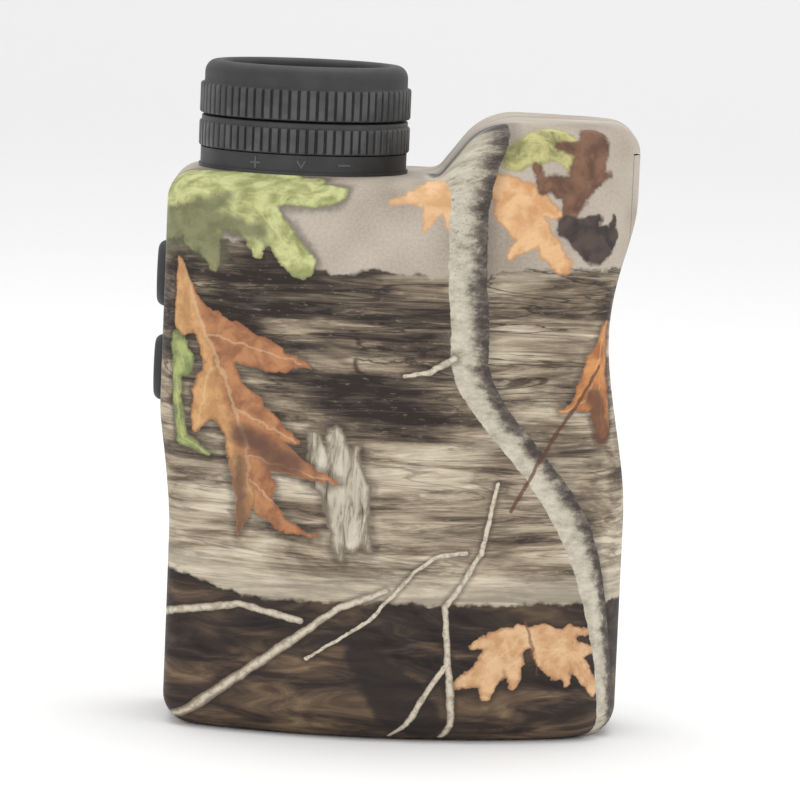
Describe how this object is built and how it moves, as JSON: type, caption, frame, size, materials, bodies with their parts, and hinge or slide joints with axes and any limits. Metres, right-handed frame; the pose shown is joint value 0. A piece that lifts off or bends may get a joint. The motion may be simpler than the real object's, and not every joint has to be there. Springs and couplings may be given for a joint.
{
  "type": "laser rangefinder",
  "caption": "Pocket monocular laser rangefinder in a camouflage case with a waisted grip, a ribbed twist-up eyepiece, dome keys and a hinged battery door.",
  "frame": {"origin": "middle of the footprint on the flat objective end, where the object stands", "axes": "+Z along the optical axis to the eyepiece, +X to the finger grip and battery door, +Y to the right half of the case"},
  "size_m": [0.0732, 0.041, 0.1016],
  "materials": {
    "camo_case": "satin photographic camouflage print of bark, branches and oak leaves under a soft-touch clear coat",
    "camo_door": "same satin camouflage print as the case",
    "black_rubber": "matt moulded rubber",
    "black_plastic": "finely textured charcoal plastic",
    "black_anodised": "black anodised aluminium",
    "coated_lens": "multi-coated optical glass with a faint violet-green bloom",
    "prism_glass": "polished optical glass",
    "filter_glass": "dark red infrared pass filter",
    "steel": "bright stainless steel",
    "brass": "knurled brass",
    "circuit_board": "green solder mask",
    "chip_black": "moulded epoxy",
    "flex_amber": "amber polyimide flex",
    "lead_red": "silicone insulation",
    "battery_wrap": "plain dark shrink wrap, no marking"
  },
  "bodies": {
    "housing": {"left_shell": "camo_case", "right_shell": "camo_case", "seam_seal": "black_rubber", "objective_seal": "black_rubber", "receiver_seal": "black_rubber", "eyepiece_seal": "black_rubber", "front_bezel": "black_plastic", "eyepiece_base": "black_plastic", "battery_holder": "black_plastic", "display_holder": "black_plastic", "receiver_tube": "black_plastic", "optical_frame": "black_plastic", "objective_barrel": "black_anodised", "objective_retainer": "black_anodised", "receiver_retainer": "black_anodised", "eyepiece_lock_ring": "black_anodised", "prism_cage": "black_anodised", "laser_mount": "black_anodised", "objective_crown": "coated_lens", "objective_flint": "coated_lens", "receiver_lens": "coated_lens", "half_prism": "prism_glass", "roof_prism": "prism_glass", "display_glass": "prism_glass", "receiver_filter": "filter_glass", "shell_screws": "steel", "frame_screws": "steel", "door_pin": "steel", "lanyard_pin": "steel", "prism_clips": "steel", "battery_spring": "steel", "battery_contact": "steel", "receiver_sensor": "steel", "laser_diode": "steel", "screw_inserts": "brass", "main_board": "circuit_board", "key_board": "circuit_board", "receiver_board": "circuit_board", "board_chips": "chip_black", "key_switches": "chip_black", "key_flex": "flex_amber", "battery_leads": "lead_red", "battery_cell": "battery_wrap"},
    "power_key": {"power_button": "black_rubber"},
    "mode_key": {"mode_button": "black_rubber"},
    "diopter": {"diopter_ring": "black_plastic", "cup_stop_ring": "black_plastic"},
    "focus_cell": {"eyepiece_cell": "black_anodised", "field_lens": "coated_lens", "lens_spacer": "black_anodised", "eye_lens": "coated_lens", "eye_lens_retainer": "black_anodised"},
    "cup_cam": {"cup_cam_ring": "black_plastic"},
    "cup": {"eye_cup": "black_rubber"},
    "door": {"battery_door": "camo_door", "door_seal": "black_rubber"}
  },
  "joints": [
    {"name": "power_press", "type": "slide", "parent": "housing", "child": "power_key", "axis": [1, 0, 0], "range_m": [0, 0.0008], "stiffness_N_per_m": 900},
    {"name": "mode_press", "type": "slide", "parent": "housing", "child": "mode_key", "axis": [1, 0, 0], "range_m": [0, 0.0008], "stiffness_N_per_m": 900},
    {"name": "diopter_turn", "type": "hinge", "parent": "housing", "child": "diopter", "pos_m": [-0.0149, 0, 0.09], "axis": [0, 0, 1], "range_deg": [-60, 60]},
    {"name": "cell_focus", "type": "slide", "parent": "housing", "child": "focus_cell", "axis": [0, 0, 1], "range_m": [-0.0008, 0.0008]},
    {"name": "cup_turn", "type": "hinge", "parent": "diopter", "child": "cup_cam", "pos_m": [-0.0149, 0, 0.095], "axis": [0, 0, 1], "range_deg": [0, 100]},
    {"name": "cup_rise", "type": "slide", "parent": "cup_cam", "child": "cup", "axis": [0, 0, 1], "range_m": [0, 0.0025]},
    {"name": "door_swing", "type": "hinge", "parent": "housing", "child": "door", "pos_m": [0.03135, 0, 0.0638], "axis": [0, 1, 0], "range_deg": [0, 90]}
  ],
  "couplings": [
    {"joint": "diopter_turn", "follows": "cell_focus", "rad_per_m": 1309},
    {"joint": "cup_turn", "follows": "cup_rise", "rad_per_m": 698.13}
  ]
}
